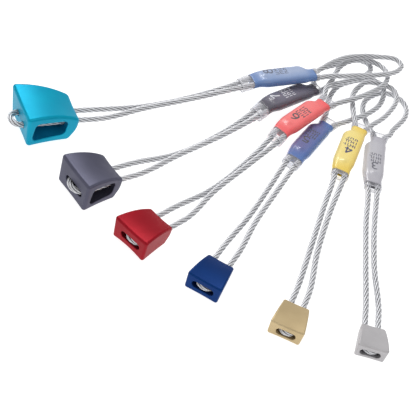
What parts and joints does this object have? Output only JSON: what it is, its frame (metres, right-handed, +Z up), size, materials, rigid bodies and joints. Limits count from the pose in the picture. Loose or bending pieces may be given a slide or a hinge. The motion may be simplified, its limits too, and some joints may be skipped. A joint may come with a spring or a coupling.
{
  "type": "wire rope sling set",
  "caption": "Fan of wired nuts for lifting and rigging: tapered metal wedges sliding on bent wire-rope slings with pressed ferrules, sleeved labels and open eyes.",
  "frame": {"origin": "centre of the footprint, on the surface the nuts rest on", "axes": "+Z up, +Y from the nuts toward the eyes, +X to the right, from the largest nut toward the smallest"},
  "size_m": [0.244, 0.2587, 0.022],
  "materials": {
    "nut_turquoise": "anodised, satin",
    "label_blue": "printed film",
    "nut_slate": "anodised, satin",
    "label_black": "printed film",
    "nut_red": "anodised, satin",
    "label_red": "printed film",
    "nut_navy": "anodised, satin",
    "label_navy": "printed film",
    "nut_gold": "anodised, satin",
    "label_yellow": "printed film",
    "nut_silver": "anodised, satin",
    "label_grey": "printed film",
    "wire": "galvanised strands",
    "ferrule": "pressed, matt",
    "clear_sleeve": "clear heat-shrink"
  },
  "bodies": {
    "sling_8": {"rope_8": "wire", "ferrule_8": "ferrule", "label_8": "label_blue", "sleeve_8": "clear_sleeve"},
    "nut_8": {"head_8": "nut_turquoise"},
    "sling_7": {"rope_7": "wire", "ferrule_7": "ferrule", "label_7": "label_black", "sleeve_7": "clear_sleeve"},
    "nut_7": {"head_7": "nut_slate"},
    "sling_6": {"rope_6": "wire", "ferrule_6": "ferrule", "label_6": "label_red", "sleeve_6": "clear_sleeve"},
    "nut_6": {"head_6": "nut_red"},
    "sling_5": {"rope_5": "wire", "ferrule_5": "ferrule", "label_5": "label_navy", "sleeve_5": "clear_sleeve"},
    "nut_5": {"head_5": "nut_navy"},
    "sling_4": {"rope_4": "wire", "ferrule_4": "ferrule", "label_4": "label_yellow", "sleeve_4": "clear_sleeve"},
    "nut_4": {"head_4": "nut_gold"},
    "sling_3": {"rope_3": "wire", "ferrule_3": "ferrule", "label_3": "label_grey", "sleeve_3": "clear_sleeve"},
    "nut_3": {"head_3": "nut_silver"}
  },
  "joints": [
    {"name": "nut_8_slide", "type": "slide", "parent": "sling_8", "child": "nut_8", "axis": [0.809, 0.5878, 0], "range_m": [0, 0.009]},
    {"name": "nut_7_slide", "type": "slide", "parent": "sling_7", "child": "nut_7", "axis": [0.6494, 0.7604, 0], "range_m": [0, 0.009]},
    {"name": "nut_6_slide", "type": "slide", "parent": "sling_6", "child": "nut_6", "axis": [0.4924, 0.8704, 0], "range_m": [0, 0.009]},
    {"name": "nut_5_slide", "type": "slide", "parent": "sling_5", "child": "nut_5", "axis": [0.2079, 0.9781, 0], "range_m": [0, 0.009]},
    {"name": "nut_4_slide", "type": "slide", "parent": "sling_4", "child": "nut_4", "axis": [0.0785, 0.9969, 0], "range_m": [0, 0.009]},
    {"name": "nut_3_slide", "type": "slide", "parent": "sling_3", "child": "nut_3", "axis": [-0.1219, 0.9925, 0], "range_m": [0, 0.009]},
    {"name": "sling_7_draw", "type": "slide", "parent": "sling_8", "child": "sling_7", "axis": [-0.5736, -0.8192, 0], "range_m": [0, 0.005]},
    {"name": "sling_6_draw", "type": "slide", "parent": "sling_8", "child": "sling_6", "axis": [-0.4305, -0.9026, 0], "range_m": [0, 0.005]},
    {"name": "sling_5_draw", "type": "slide", "parent": "sling_8", "child": "sling_5", "axis": [-0.2588, -0.9659, 0], "range_m": [0, 0.005]},
    {"name": "sling_4_draw", "type": "slide", "parent": "sling_8", "child": "sling_4", "axis": [-0.0698, -0.9976, 0], "range_m": [0, 0.005]},
    {"name": "sling_3_draw", "type": "slide", "parent": "sling_8", "child": "sling_3", "axis": [0.0958, -0.9954, 0], "range_m": [0, 0.005]}
  ]
}
